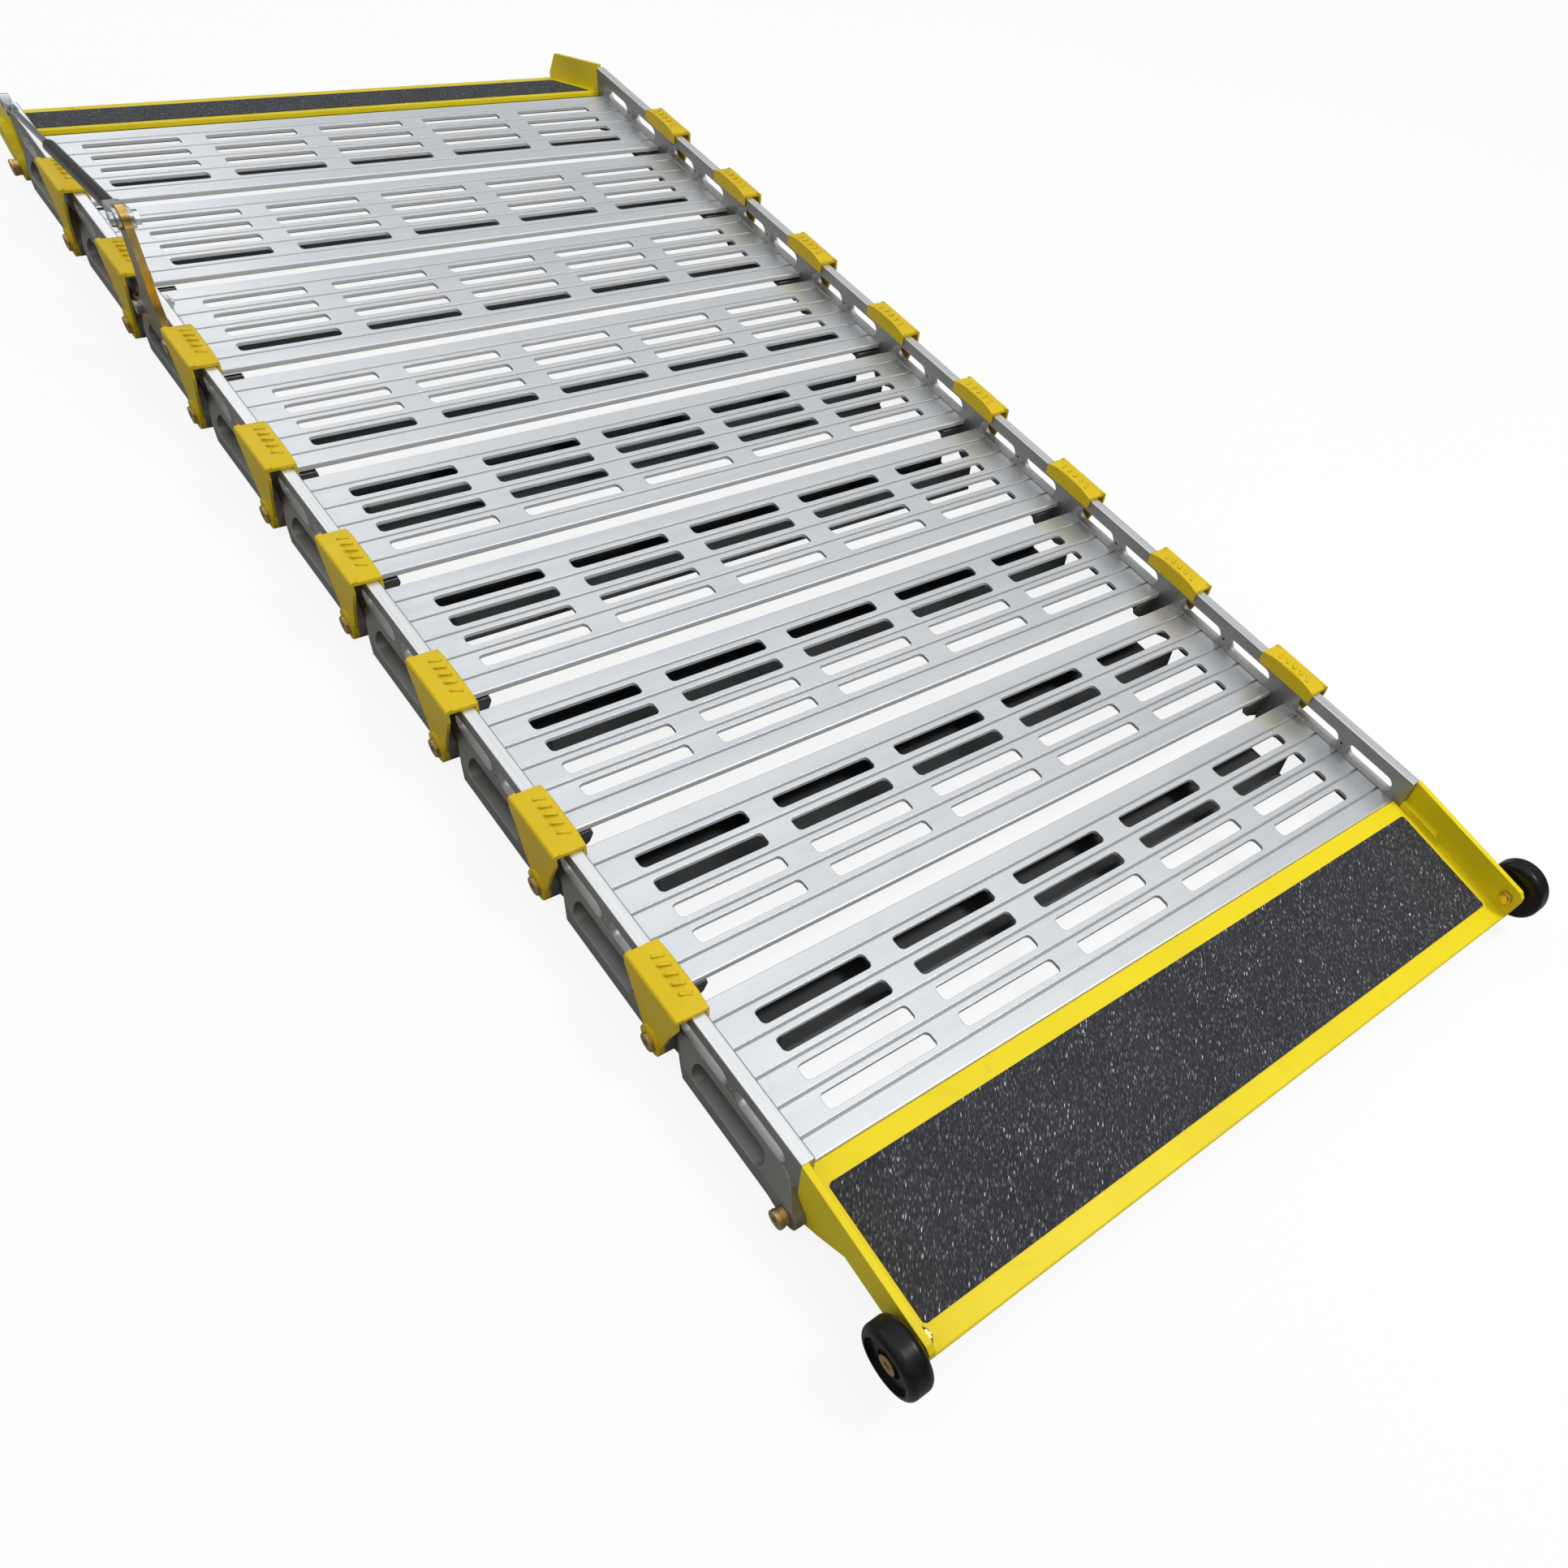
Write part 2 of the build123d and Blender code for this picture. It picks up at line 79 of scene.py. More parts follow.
# Heights at which the look of a plank or a rail changes.
GROOVE_Z = DECK_TOP - 0.0003
SKIN_Z = DECK_TOP - 0.0065
WINDOW_Z = DECK_TOP - 0.004
CURB_Z = RAIL_TOP - 0.003


# ---------------------------------------------------------------- node helpers

SHADER_INPUTS = {
    "color": "Base Color",
    "metal": "Metallic",
    "rough": "Roughness",
    "normal": "Normal",
    "spec": "Specular IOR Level",
    "coat": "Coat Weight",
    "coat_rough": "Coat Roughness",
}


class Tree:
    """Adds nodes and links to a node tree. A colour is three numbers or a socket."""

    def __init__(self, tree):
        self.tree = tree

    def add(self, kind, **props):
        node = self.tree.nodes.new("ShaderNode" + kind)
        for key, value in props.items():
            setattr(node, key, value)
        return node

    def link(self, output, socket):
        self.tree.links.new(output, socket)

    def set(self, socket, value):
        """Links value to the socket if it is a socket too, else makes it the socket's own value."""
        if isinstance(value, bpy.types.NodeSocket):
            self.link(value, socket)
        else:
            socket.default_value = (*value, 1) if isinstance(value, tuple) else value

    def math(self, op, a, b=0.0):
        node = self.add("Math", operation=op)
        self.set(node.inputs[0], a)
        self.set(node.inputs[1], b)
        return node.outputs[0]

    def split(self, vector):
        """The X, Y and Z outputs of a vector."""
        node = self.add("SeparateXYZ")
        self.link(vector, node.inputs[0])
        return node.outputs

    def ramp(self, fac, *stops):
        """A colour ramp through (place, grey level) or (place, colour) stops."""
        node = self.add("ValToRGB")
        elements = node.color_ramp.elements
        while len(elements) < len(stops):
            elements.new(0.5)
        for element, (place, c) in zip(elements, stops):
            element.position = place
            element.color = (*c, 1) if isinstance(c, tuple) else (c, c, c, 1)
        self.link(fac, node.inputs["Fac"])
        return node.outputs["Color"]

    def mix_shaders(self, fac, a, b):
        """Shader a where fac is 0, shader b where it is 1."""
        node = self.add("MixShader")
        for socket, output in zip(node.inputs, (fac, a, b)):
            self.link(output, socket)
        return node.outputs[0]


class Material(Tree):
    """A new material, with the textures and masks that the looks are made of."""

    def __init__(self, name):
        self.mat = bpy.data.materials.new(name)
        self.mat.use_nodes = True
        super().__init__(self.mat.node_tree)
        self.bsdf = self.tree.nodes["Principled BSDF"]
        self.out = self.tree.nodes["Material Output"]

    def coords(self, scale=(1, 1, 1), space="Object"):
        """Scaled coordinates of a piece, which stay with it at every pose."""
        mapping = self.add("Mapping")
        mapping.inputs["Scale"].default_value = scale
        self.link(self.add("TexCoord").outputs[space], mapping.inputs["Vector"])
        return mapping.outputs["Vector"]

    def turned(self, angle, stretch):
        """Object coordinates turned about z, with the second axis drawn out by stretch."""
        mapping = self.add("Mapping", vector_type="TEXTURE")
        mapping.inputs["Rotation"].default_value = (0, 0, angle)
        mapping.inputs["Scale"].default_value = (1, stretch, 1)
        self.link(self.add("TexCoord").outputs["Object"], mapping.inputs["Vector"])
        return mapping.outputs["Vector"]

    def noise(self, vector, scale, detail, rough, distortion=0.0):
        node = self.add("TexNoise")
        node.inputs["Scale"].default_value = scale
        node.inputs["Detail"].default_value = detail
        node.inputs["Roughness"].default_value = rough
        node.inputs["Distortion"].default_value = distortion
        self.link(vector, node.inputs["Vector"])
        return node.outputs["Fac"]

    def grain(self, density, detail, rough, distortion=0.0):
        """Noise with a density per metre: one number, or one for each object axis."""
        scale = density if isinstance(density, tuple) else (density,) * 3
        return self.noise(self.coords(scale), 1.0, detail, rough, distortion)

    def voronoi(self, vector, scale, output="Distance"):
        node = self.add("TexVoronoi")
        node.inputs["Scale"].default_value = scale
        self.link(vector, node.inputs["Vector"])
        return node.outputs[output]

    def mix(self, fac, a, b, blend="MIX"):
        node = self.add("Mix", data_type="RGBA", blend_type=blend)
        self.set(node.inputs["Factor"], fac)
        self.set(node.inputs[6], a)
        self.set(node.inputs[7], b)
        return node.outputs[2]

    def bump(self, relief, distance, strength, normal=None):
        node = self.add("Bump")
        node.inputs["Strength"].default_value = strength
        node.inputs["Distance"].default_value = distance
        self.link(relief, node.inputs["Height"])
        if normal is not None:
            self.link(normal, node.inputs["Normal"])
        return node.outputs["Normal"]

    def round_edges(self, radius):
        """A normal that looks as if the edges had a small radius."""
        node = self.add("Bevel", samples=4)
        node.inputs["Radius"].default_value = radius
        return node.outputs["Normal"]

    def edge_mask(self, radius, low=0.02, high=0.25):
        """1 along convex and concave edges, where the rounded normal leaves the true one."""
        dot = self.add("VectorMath", operation="DOT_PRODUCT")
        self.link(self.round_edges(radius), dot.inputs[0])
        self.link(self.add("NewGeometry").outputs["Normal"], dot.inputs[1])
        span = self.add("MapRange")
        span.inputs["From Min"].default_value = low
        span.inputs["From Max"].default_value = high
        self.link(self.math("SUBTRACT", 1.0, dot.outputs["Value"]), span.inputs["Value"])
        return span.outputs["Result"]

    def facing(self, axis):
        """|component| of the normal along an object axis: 1 on faces square to it."""
        return self.math("ABSOLUTE", self.split(self.coords(space="Normal"))[axis])

    def height(self):
        """The object-space z, which is the height above the floor at rest."""
        return self.split(self.coords())["Z"]

    def shade(self, **values):
        """Sets the shader's inputs, named as in SHADER_INPUTS, and returns the material."""
        for name, value in values.items():
            self.set(self.bsdf.inputs[SHADER_INPUTS[name]], value)
        return self.mat


# ---------------------------------------------------------------- materials

def deck_aluminium():
    """Mill finish extrusion: fine drawn lines across the ramp, faint blotches, dull scuffs; painted shade
    in the grooves and under the skin, and painted highlights on the lips and slot rims.
    """
    t = Material("deck_aluminium")
    lines = t.grain((3, 900, 900), 3.0, 0.6)
    wide = t.grain((0.7, 60, 60), 3.0, 0.5)
    blotch = t.grain((3, 5, 3), 4.0, 0.6)
    scuff = t.grain(30, 8.0, 0.7, 0.6)
    tone = t.mix(t.ramp(blotch, (0.3, 0.0), (0.7, 1.0)), (0.68, 0.72, 0.765), (0.77, 0.795, 0.825))
    tone = t.mix(t.ramp(wide, (0.35, 0.0), (0.65, 0.5)), tone, (0.84, 0.85, 0.86))
    tone = t.mix(t.ramp(scuff, (0.56, 0.0), (0.72, 0.35)), tone, (0.60, 0.61, 0.62))
    tone = t.mix(t.math("MULTIPLY", t.edge_mask(0.0008), 0.4), tone, (0.92, 0.93, 0.94))
    z = t.height()
    # Painted shade: the floors of the grooves are coloured dark. The grooves are also made rougher.
    groove = t.math("MULTIPLY", t.math("LESS_THAN", z, GROOVE_Z), t.facing("Z"))
    tone = t.mix(t.math("MULTIPLY", groove, 0.66), tone, (0.16, 0.165, 0.175))
    # Painted shade: everything below the plank's skin is coloured near black, as the shade under the
    # deck.
    under = t.math("LESS_THAN", z, SKIN_Z)
    tone = t.mix(t.math("MULTIPLY", under, 0.85), tone, (0.085, 0.087, 0.090))
    # Painted highlight: the lips and slot walls that face along the ramp are coloured pale and made less
    # metallic, as a painted reflection of the pale floor.
    rim = t.math("MULTIPLY", t.facing("Y"), t.math("GREATER_THAN", z, SKIN_Z))
    tone = t.mix(t.math("MULTIPLY", rim, 0.8), tone, (0.86, 0.87, 0.88))
    metal = t.math("SUBTRACT", 0.92, t.math("MULTIPLY", rim, 0.75))
    rough = t.math("ADD", t.math("MULTIPLY", lines, 0.14), t.math("MULTIPLY", scuff, 0.16))
    rough = t.math("ADD", rough, t.math("ADD", 0.22, t.math("MULTIPLY", groove, 0.2)))
    n = t.bump(lines, 0.00006, 0.6, t.round_edges(0.0009))
    n = t.bump(scuff, 0.00008, 0.3, n)
    return t.shade(color=tone, metal=metal, rough=rough, normal=n)


def rail_aluminium():
    """Side rail: cast texture on the sides and machined streaks along the bright top; the dark grey of
    the sides is painted shade, and the window sills carry painted light.
    """
    t = Material("rail_aluminium")
    face = t.ramp(t.facing("X"), (0.3, 0.0), (0.75, 1.0))
    z = t.height()
    below = t.math("LESS_THAN", z, CURB_Z)
    side = t.math("MAXIMUM", face, below)
    cast = t.grain(260, 5.0, 0.65)
    cloud = t.grain(9, 5.0, 0.6)
    streak = t.grain((400, 5, 400), 3.0, 0.6)
    # Painted shade: the sides and everything below the curb are coloured a dark grey, far darker than the
    # top of the same metal.
    grey = t.mix(t.ramp(cloud, (0.3, 0.0), (0.7, 1.0)), (0.235, 0.23, 0.22), (0.34, 0.335, 0.32))
    grey = t.mix(t.math("MULTIPLY", cast, 0.3), grey, (0.42, 0.41, 0.40))
    bright = t.mix(t.ramp(streak, (0.3, 0.0), (0.7, 1.0)), (0.72, 0.735, 0.75), (0.84, 0.85, 0.86))
    tone = t.mix(side, bright, grey)
    # Painted light: the sills and ends of the windows above the deck are coloured a lighter grey.
    window = t.math("MULTIPLY", below, t.math("GREATER_THAN", z, WINDOW_Z))
    painted_sill_light = t.math("MULTIPLY", window, t.math("SUBTRACT", 1.0, face))
    tone = t.mix(t.math("MULTIPLY", painted_sill_light, 0.7), tone, (0.60, 0.61, 0.61))
    tone = t.mix(t.math("MULTIPLY", t.edge_mask(0.0009), 0.55), tone, (0.80, 0.80, 0.80))
    rough = t.mix(side, t.ramp(streak, (0.3, 0.24), (0.7, 0.38)), t.ramp(cast, (0.3, 0.42), (0.7, 0.62)))
    n = t.bump(cast, 0.00018, 0.45, t.round_edges(0.0012))
    n = t.bump(streak, 0.00004, 0.4, n)
    return t.shade(color=tone, metal=0.9, rough=rough, normal=n)


def powder_coat(name, base, dark):
    """Satin powder coat with orange peel, faint dirt and rubbed edges."""
    t = Material(name)
    peel = t.grain(420, 2.0, 0.5)
    cloud = t.grain(14, 5.0, 0.6)
    grime = t.grain(45, 8.0, 0.7, 0.4)
    tone = t.mix(t.ramp(cloud, (0.3, 0.0), (0.75, 1.0)), base, dark)
    tone = t.mix(t.ramp(grime, (0.60, 0.0), (0.80, 0.30)), tone, tuple(c * 0.55 for c in dark))
    rub = t.math("MULTIPLY", t.edge_mask(0.0011, 0.05, 0.4), t.ramp(grime, (0.50, 0.0), (0.66, 1.0)))
    tone = t.mix(t.math("MULTIPLY", rub, 0.35), tone, tuple(min(1.0, c * 1.25 + 0.05) for c in base))
    rough = t.math("ADD", t.math("MULTIPLY", peel, 0.10), t.math("MULTIPLY", grime, 0.14))
    rough = t.math("ADD", rough, 0.30)
    n = t.bump(peel, 0.00012, 0.35, t.round_edges(0.0013))
    return t.shade(color=tone, metal=0.0, rough=rough, normal=n, coat=0.03, coat_rough=0.2, spec=0.17)


def grit_tape():
    """Mineral grit on a black film: slanting grains, a few of them with a painted glint."""
    t = Material("grip_tape")
    slant = t.turned(math.radians(-36), 5.5)
    patch = t.noise(t.coords((1.0, 0.42, 1.0)), 22.0, 5.0, 0.6)
    fine = t.noise(slant, 1500.0, 3.0, 0.7)
    pick = t.add("SeparateColor")
    t.link(t.voronoi(slant, 1100.0, "Color"), pick.inputs[0])
    spot = t.ramp(t.voronoi(slant, 1100.0), (0.25, 1.0), (0.60, 0.0))
    grey = t.ramp(pick.outputs["Red"], (0.0, 0.0), (0.35, 0.016), (0.75, 0.07), (0.92, 0.15), (1.0, 0.30))
    # Painted glints: a few grains are coloured near white and made smoother.
    painted_glint = t.math("MULTIPLY", t.ramp(pick.outputs["Green"], (0.975, 0.0), (0.992, 1.0)), spot)
    base = t.mix(t.ramp(patch, (0.3, 0.0), (0.7, 1.0)), (0.008, 0.009, 0.013), (0.016, 0.018, 0.024))
    base = t.mix(t.ramp(fine, (0.50, 0.0), (0.72, 1.0)), base, (0.060, 0.064, 0.072))
    tone = t.mix(1.0, base, t.mix(spot, (0, 0, 0), grey), "ADD")
    tone = t.mix(painted_glint, tone, (0.80, 0.83, 0.88))
    rough = t.mix(painted_glint, t.ramp(fine, (0.3, 0.50), (0.7, 0.80)), (0.30, 0.30, 0.30))
    n = t.bump(t.math("ADD", spot, t.math("MULTIPLY", fine, 0.5)), 0.0004, 0.7)
    return t.shade(color=tone, metal=0.0, rough=rough, normal=n, spec=0.3)


def wheel_rubber():
    """Moulded black wheel: turned tread lines and a dusty bloom."""
    t = Material("wheel_rubber")
    dust = t.grain(60, 8.0, 0.7)
    rings = t.grain((1600, 30, 30), 2.0, 0.5)
    tone = t.mix(t.ramp(dust, (0.45, 0.0), (0.8, 0.5)), (0.004, 0.004, 0.0045), (0.016, 0.0155, 0.015))
    rough = t.math("ADD", t.math("MULTIPLY", dust, 0.22), 0.20)
    n = t.bump(rings, 0.00006, 0.5, t.round_edges(0.0012))
    n = t.bump(dust, 0.0001, 0.3, n)
    return t.shade(color=tone, metal=0.0, rough=rough, normal=n, spec=0.24)


def plated(name, low, high, rough_low, rough_high, tint=None, painted_side_shade=0.0):
    """Plated or ground steel: small crystals, slow colour drift and burnished edges."""
    t = Material(name)
    drift = t.grain(55, 4.0, 0.6, 0.8)
    fine = t.grain(900, 3.0, 0.6)
    tone = t.mix(t.ramp(drift, (0.3, 0.0), (0.7, 1.0)), low, high)
    if tint:
        hue = t.grain(90, 3.0, 0.6, 1.2)
        tone = t.mix(t.ramp(hue, (0.52, 0.0), (0.72, 0.55)), tone, tint)
    # Painted shade: faces square to x are darkened towards a dark brown.
    if painted_side_shade:
        tone = t.mix(t.math("MULTIPLY", t.facing("X"), painted_side_shade), tone, (0.05, 0.035, 0.02))
    burnished = tuple(min(1, c * 1.3) for c in high)
    tone = t.mix(t.math("MULTIPLY", t.edge_mask(0.0007), 0.5), tone, burnished)
    rough = t.ramp(fine, (0.25, rough_low), (0.75, rough_high))
    n = t.bump(fine, 0.00003, 0.5, t.round_edges(0.0007))
    return t.shade(color=tone, metal=1.0, rough=rough, normal=n)


def gloss_tube():
    """Gloss black enamel over a steel tube, with fine wipe marks."""
    t = Material("black_tube")
    wipe = t.grain((300, 20, 300), 4.0, 0.6)
    tone = t.mix(t.ramp(wipe, (0.4, 0.0), (0.8, 0.6)), (0.004, 0.004, 0.0045), (0.012, 0.012, 0.013))
    rough = t.ramp(wipe, (0.3, 0.12), (0.8, 0.30))
    n = t.bump(wipe, 0.00003, 0.4, t.round_edges(0.001))
    return t.shade(color=tone, metal=0.0, rough=rough, normal=n, spec=0.25, coat=0.05, coat_rough=0.08)


MATS = {
    "deck_aluminium": deck_aluminium(),
    "rail_aluminium": rail_aluminium(),
    "yellow_powder_coat": powder_coat("yellow_powder_coat", (0.86, 0.70, 0.012), (0.80, 0.63, 0.010)),
    "cap_yellow": powder_coat("cap_yellow", (0.76, 0.55, 0.014), (0.69, 0.48, 0.011)),
    "grip_tape": grit_tape(),
    "wheel_rubber": wheel_rubber(),
    "yellow_zinc": plated(
        "yellow_zinc", (0.50, 0.34, 0.13), (0.72, 0.54, 0.22), 0.20, 0.36, tint=(0.62, 0.36, 0.24),
    ),
    # The bracket's faces across the ramp carry painted shade.
    "bracket_zinc": plated(
        "bracket_zinc", (0.52, 0.33, 0.10), (0.80, 0.56, 0.18), 0.16, 0.30, tint=(0.70, 0.34, 0.16),
        painted_side_shade=0.72,
    ),
    "bright_zinc": plated("bright_zinc", (0.42, 0.43, 0.45), (0.62, 0.63, 0.65), 0.22, 0.40),
    "black_tube": gloss_tube(),
    "ground_rod": plated("ground_rod", (0.50, 0.51, 0.53), (0.60, 0.61, 0.63), 0.08, 0.16),
}


def look_of(node):
    """The name of a piece's material: its slot, except for the caps and the strut's bracket."""
    if node.startswith("hinge_caps"):
        return "cap_yellow"
    if node == "strut_bracket":
        return "bracket_zinc"
    return slots[node]


def paint(obj, look):
    """Gives an object one of the materials and no other."""
    obj.data.materials.clear()
    obj.data.materials.append(MATS[look])


for name, obj in nodes.items():
    paint(obj, look_of(name))


# ---------------------------------------------------------------- grip tape

TAPE_T = 0.001
TAPE_INSET = 0.0006
TAPE_SEAT = 0.00005
CORNER_R = 0.003
GRID_X, GRID_V = 0.0012, 0.0021
JITTER_X, JITTER_V = 0.0003, 0.0005

# The grain: its foot lies below the sheet's face; some grains are taller by GRAIN.
GRAIN = 0.00022
GRAIN_FOOT = TAPE_T - 0.0002
TALL_FROM = 0.93
PRESSED_BAND, PRESSED = 0.0025, 0.35
EDGE_BAND, EDGE_DROP = 0.0008, 0.0003


def tape_ends(lo, hi, slope):
    """The (y, z) box corners that a tape runs between; slope is 1 where it climbs with y, else -1."""
    if slope > 0:
        return (lo.y, lo.z), (hi.y, hi.z)
    return (lo.y, hi.z), (hi.y, lo.z)


def plate_frame(hinge, lo, hi, slope):
    """Matrix from (x across, v along, w up) of an end plate to the world, at rest."""
    tilt = math.atan2(hi.z - lo.z, hi.y - lo.y)
    # The tape's box includes its thickness, so the angle is worked out again a few times.
    for _ in range(4):
        run = hi.y - lo.y - TAPE_T * math.sin(tilt)
        tilt = math.atan2(hi.z - lo.z - TAPE_T * math.cos(tilt), run)
    m = Matrix.Rotation(slope * tilt, 4, "X")
    m.translation = Vector((0, *pin(hinge)))
    return m


def corner_pull(end):
    """How far the rounded corners draw a row in, by its distance from the nearer end."""
    return CORNER_R - math.sqrt(max(0.0, CORNER_R ** 2 - max(0.0, CORNER_R - end) ** 2))


def grain_top(edge):
    """A random height of the tape's face, by the distance from the sheet's outline."""
    rise = random.random()
    grain = GRAIN * rise + (GRAIN if rise > TALL_FROM else 0.0)
    if edge < PRESSED_BAND:
        grain *= PRESSED
    return GRAIN_FOOT - (EDGE_DROP if edge < EDGE_BAND else 0.0) + grain


def jitter(reach, inside):
    """A random offset for a point of the grid; the outline has none."""
    return random.uniform(-reach, reach) if inside else 0.0


def grit_grid(bm, m, x0, x1, v0, v1, w0):
    """The rough face of a sheet: a grid of vertices, returned row by row, with faces between them."""
    nx, nv = int((x1 - x0) / GRID_X), int((v1 - v0) / GRID_V)
    rows = []
    for j in range(nv + 1):
        v = v0 + (v1 - v0) * j / nv
        end = min(v - v0, v1 - v)
        pull = corner_pull(end)
        row = []
        for i in range(nx + 1):
            x = x0 + pull + (x1 - x0 - 2 * pull) * i / nx
            w = w0 + grain_top(min(x - x0 - pull, x1 - pull - x, end))
            x += jitter(JITTER_X, 0 < i < nx)
            row.append(bm.verts.new(m @ Vector((x, v + jitter(JITTER_V, 0 < j < nv), w))))
        rows.append(row)
    for near, far in zip(rows, rows[1:]):
        for i in range(nx):
            bm.faces.new((near[i], near[i + 1], far[i + 1], far[i]))
    return rows


def close_below(bm, m, rows, w0):
    """Walls down from the outline of the rough face, and a flat underside."""
    inv = m.inverted()
    rim = rows[0] + [r[-1] for r in rows[1:]] + rows[-1][-2::-1] + [r[0] for r in rows[-2:0:-1]]
    low = []
    for vert in rim:
        x, v, _ = inv @ vert.co
        low.append(bm.verts.new(m @ Vector((x, v, w0 + TAPE_SEAT))))
    for a in range(len(rim)):
        b = (a + 1) % len(rim)
        bm.faces.new((rim[b], rim[a], low[a], low[b]))
    bm.faces.new(low[::-1])
    bmesh.ops.recalc_face_normals(bm, faces=bm.faces)


def place_object(name, data):
    """Adds an object to the scene."""
    obj = bpy.data.objects.new(name, data)
    scene.collection.objects.link(obj)
    return obj


def mesh_object(name, bm):
    """Turns a bmesh into an object of the scene."""
    mesh = bpy.data.meshes.new(name)
    bm.to_mesh(mesh)
    bm.free()
    return place_object(name, mesh)


def grit_sheet(name, hinge, plate, node, slope):
    """A sheet of grip tape: rounded corners, pressed edges and a grain in relief."""
    lo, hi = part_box(node)
    m = plate_frame(hinge, lo, hi, slope)
    inv = m.inverted()
    near, far = (inv @ Vector((0, y, z)) for y, z in tape_ends(lo, hi, slope))
    w0 = min(near.z, far.z)
    bm = bmesh.new()
    rows = grit_grid(
        bm, m, lo.x + TAPE_INSET, hi.x - TAPE_INSET, near.y + TAPE_INSET, far.y - TAPE_INSET, w0,
    )
    close_below(bm, m, rows, w0)
    obj = mesh_object(name, bm)
    paint(obj, "grip_tape")
    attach(obj, plate)
    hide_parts(node)


grit_sheet("approach_grit_sheet", 0, "approach_plate", "approach_grip_tape", slope=1)
grit_sheet("far_grit_sheet", LINKS, "far_plate", "far_grip_tape", slope=-1)


# ---------------------------------------------------------------- floor

FLOOR_SIZE = 14.0
FLOOR_GLOW = 0.88


def watch(driver, name, obj, channel):
    """Gives a driver a variable that is a world coordinate of an object."""
    v = driver.variables.new()
    v.name = name
    v.type = "TRANSFORMS"
    v.targets[0].id = obj
    v.targets[0].transform_type = channel
    v.targets[0].transform_space = "WORLD_SPACE"


def floor_spots():
    """(body, point) of what can come lowest: the far plate, the links' ends, the caps, the wheels."""
    spots = [("far_plate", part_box("far_plate")[0])]
    for k in range(LINKS, 0, -1):
        y, z = pin(k - 1)
        far_top = CAP_TOP if k < LINKS else RAIL_TOP
        spots.append((f"link_{k}", Vector((0, y, z - LUG_R))))
        spots.append((f"link_{k}", Vector((0, y + PITCH / 2, RAIL_TOP))))
        spots.append((f"link_{k}", Vector((0, y + PITCH, far_top))))
    lo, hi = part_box("left_wheel")
    axle_y = (lo.y + hi.y) / 2
    spots.append(("approach_plate", Vector((0, axle_y, lo.z))))
    spots.append(("approach_plate", Vector((0, axle_y, hi.z))))
    return spots


def floor_paper():
    """White paper: mostly glowing to the camera, but grey to the pieces that it lights."""
    t = Material("floor")
    cloud = t.grain(0.8, 3.0, 0.5)
    tone = t.mix(t.ramp(cloud, (0.3, 0.0), (0.7, 1.0)), (0.86, 0.86, 0.86), (0.90, 0.90, 0.90))
    to_camera = t.add("LightPath").outputs["Is Camera Ray"]
    n = t.bump(t.grain(60, 6.0, 0.6), 0.0004, 0.1)
    mat = t.shade(color=t.mix(to_camera, (0.34, 0.34, 0.335), tone), rough=0.8, normal=n, spec=0.15)
    glow = t.add("Emission")
    t.set(glow.inputs["Color"], (1.0, 1.0, 1.0))
    both = t.mix_shaders(t.math("MULTIPLY", to_camera, FLOOR_GLOW), t.bsdf.outputs[0], glow.outputs[0])
    t.link(both, t.out.inputs["Surface"])
    return mat


def make_floor():
    """A floor that stays just under the lowest piece at every pose."""
    bm = bmesh.new()
    bmesh.ops.create_grid(bm, x_segments=2, y_segments=2, size=FLOOR_SIZE)
    floor = mesh_object("floor", bm)
    floor.data.materials.append(floor_paper())
    driver = floor.driver_add("location", 2).driver
    driver.type = "SCRIPTED"
    for n, (body, spot) in enumerate(floor_spots()):
        mark = place_object(f"floor_mark_{n}", None)
        mark.location = spot
        mark.hide_render = True
        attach(mark, body)
        watch(driver, f"a{n}", mark, "LOC_Z")
    driver.expression = "min(" + ",".join(v.name for v in driver.variables) + ")"


# ---------------------------------------------------------------- light

# (sine of the height in the sky, brightness)
SKY = [(0.0, 0.10), (0.30, 0.38), (0.60, 0.70), (0.85, 1.05), (1.0, 1.12)]
SKY_TINT = (0.985, 0.995, 1.0)


def make_sky():
    """Studio sky: brighter overhead, at the far end and on the left, but even to the camera."""
    world = bpy.data.worlds.new("studio")
    scene.world = world
    world.use_nodes = True
    t = Tree(world.node_tree)
    way = t.split(t.add("TexCoord").outputs["Generated"])
    colour = t.ramp(way["Z"], *[(place, tuple(level * c for c in SKY_TINT)) for place, level in SKY])
    strength = t.math("ADD", 1.0, t.math("MULTIPLY", way["Y"], 0.40))
    strength = t.math("SUBTRACT", strength, t.math("MULTIPLY", t.math("ABSOLUTE", way["X"]), 0.32))
    strength = t.math("SUBTRACT", strength, t.math("MULTIPLY", way["X"], 0.16))
    lit = t.tree.nodes["Background"]
    t.link(colour, lit.inputs["Color"])
    t.link(strength, lit.inputs["Strength"])
    seen = t.add("Background")
    t.set(seen.inputs["Color"], (0.93, 0.935, 0.94))
    to_camera = t.add("LightPath").outputs["Is Camera Ray"]
    both = t.mix_shaders(to_camera, lit.outputs[0], seen.outputs[0])
    t.link(both, t.tree.nodes["World Output"].inputs["Surface"])


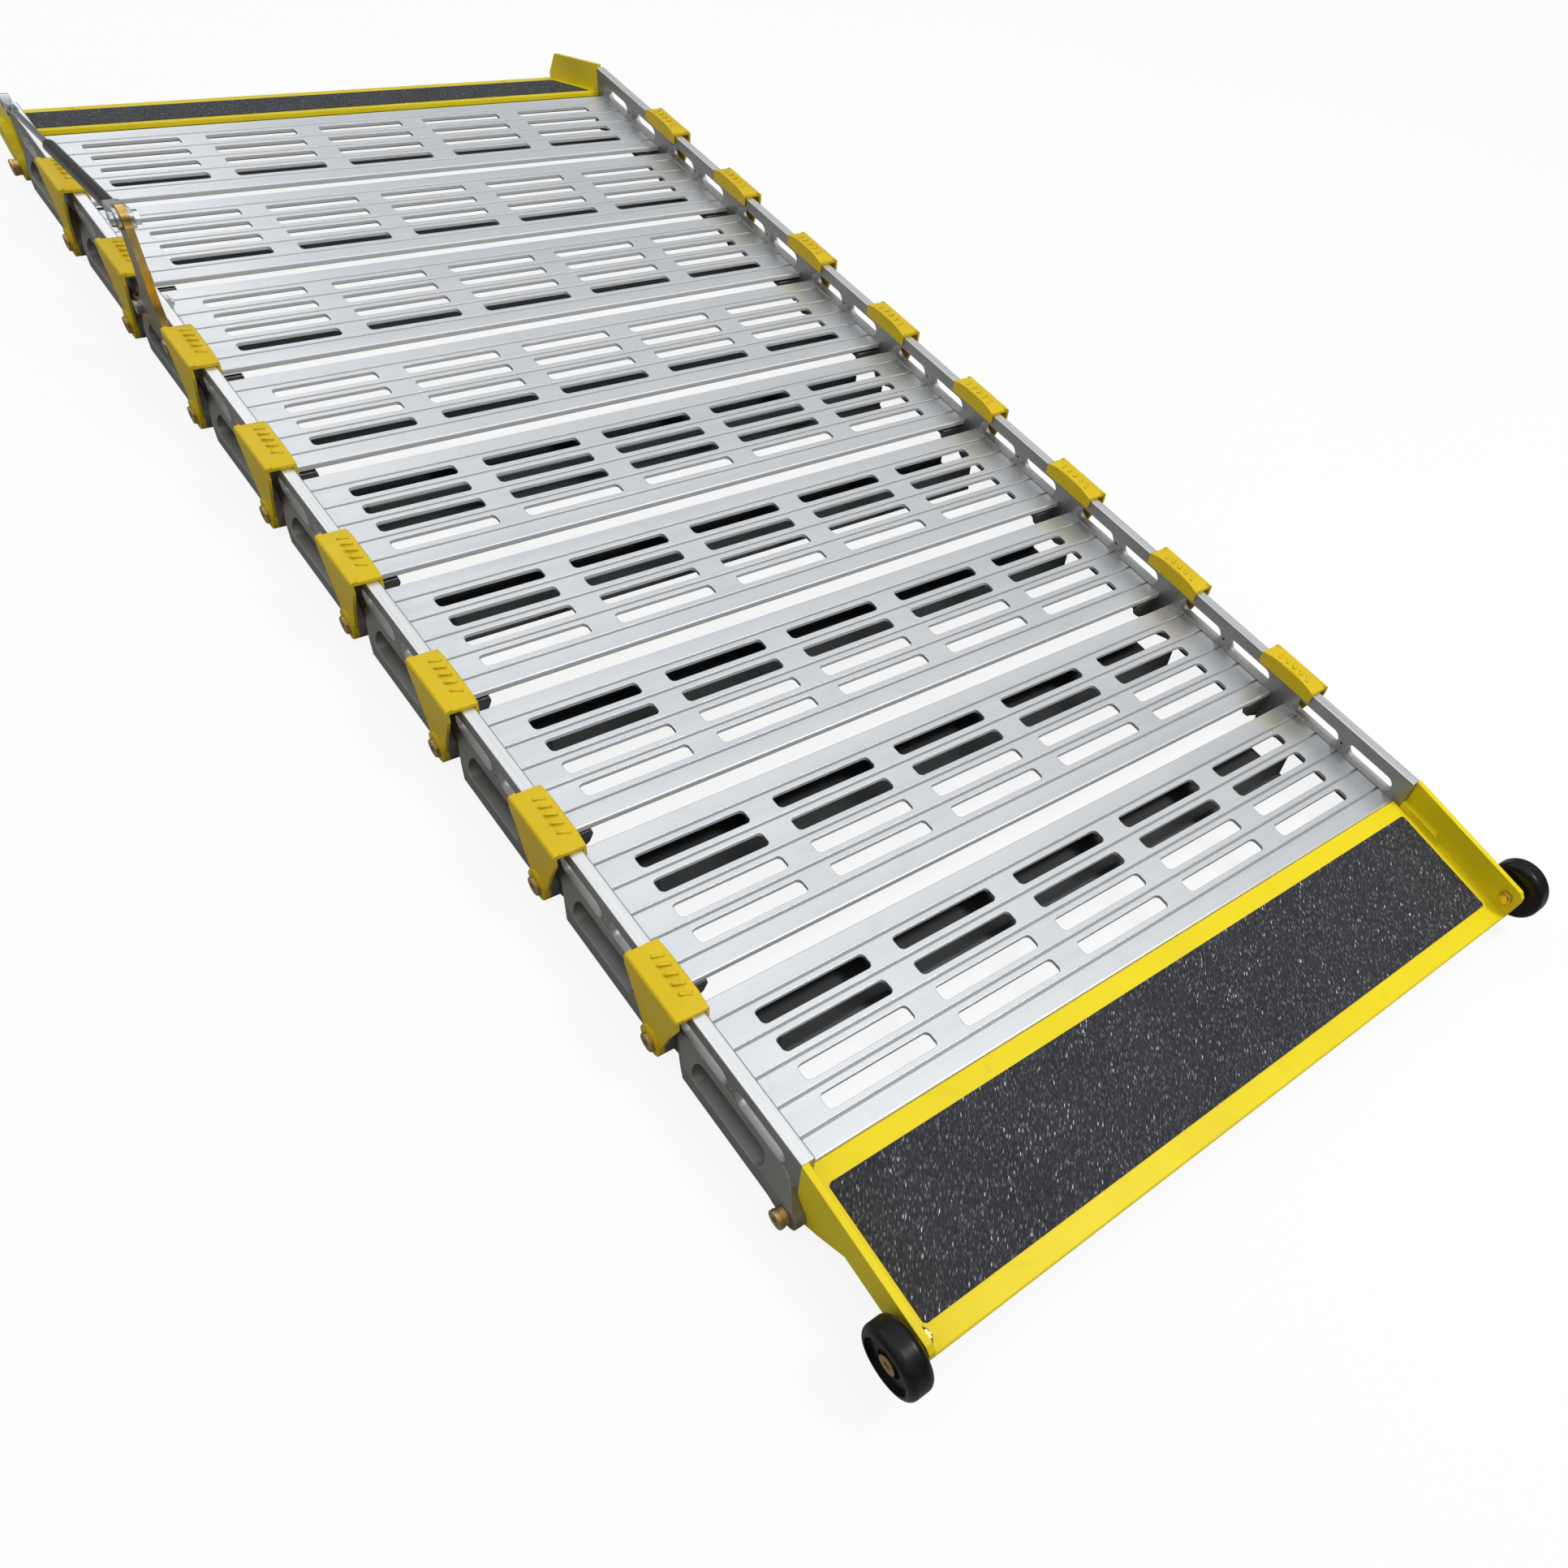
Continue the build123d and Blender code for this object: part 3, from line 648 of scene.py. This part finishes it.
def area_light(name, place, target, size, power, colour=(1, 1, 1)):
    """A rectangular light at place that shines at target."""
    light = bpy.data.lights.new(name, "AREA")
    light.energy = power
    light.color = colour
    light.shape = "RECTANGLE"
    light.size, light.size_y = size
    obj = place_object(name, light)
    obj.location = place
    obj.rotation_mode = "QUATERNION"
    obj.rotation_quaternion = (Vector(target) - Vector(place)).to_track_quat("-Z", "Y")


# ---------------------------------------------------------------- camera

LENS = 28.19
LENS_SHIFT = {"shift_x": -0.170, "shift_y": 0.0846}
HEADING, DOWN, ROLL = math.radians(56.676), math.radians(50.8565), math.radians(20.11)
# Metres outside the left rail, before the first pin and above it.
CAMERA_OUT, CAMERA_BEFORE, CAMERA_ABOVE = 0.2636, 0.3036, 0.9214


def make_camera():
    """Seen from over the near left corner, with the camera rolled clockwise."""
    cam = bpy.data.cameras.new("camera")
    obj = place_object("camera", cam)
    cam.sensor_width = 36.0
    cam.lens = LENS
    cam.clip_start = 0.05
    cam.clip_end = 60
    ahead = math.cos(DOWN)
    forward = Vector((math.sin(HEADING) * ahead, math.cos(HEADING) * ahead, -math.sin(DOWN)))
    right = forward.cross(Vector((0, 0, 1))).normalized()
    up = right.cross(forward)
    rolled_right = right * math.cos(ROLL) + up * math.sin(ROLL)
    rolled_up = up * math.cos(ROLL) - right * math.sin(ROLL)
    m = Matrix((rolled_right, rolled_up, -forward)).transposed().to_4x4()
    m.translation = Vector((-HALF_W - CAMERA_OUT, pin(0)[0] - CAMERA_BEFORE, PIN_Z + CAMERA_ABOVE))
    obj.matrix_world = m
    scene.camera = obj
    # The lens shift belongs to this viewpoint alone: it drops to 0 where the camera is moved.
    for prop, shift in LENS_SHIFT.items():
        driver = cam.driver_add(prop).driver
        driver.type = "SCRIPTED"
        watch(driver, "x", obj, "LOC_X")
        driver.expression = f"{shift} if abs(x - {m.translation.x:.6f}) < 0.001 else 0"


make_floor()
make_sky()
area_light("key", (1.2, -1.8, 3.1), (0, 0, 0), size=(0.7, 0.7), power=52, colour=(1.0, 0.985, 0.96))
area_light("back", (-0.7, 3.5, 1.9), (0, 0.2, 0), size=(2.4, 1.4), power=8)
make_camera()

scene.view_settings.view_transform = "Standard"
scene.view_settings.look = "None"
scene.view_settings.exposure = 0.0
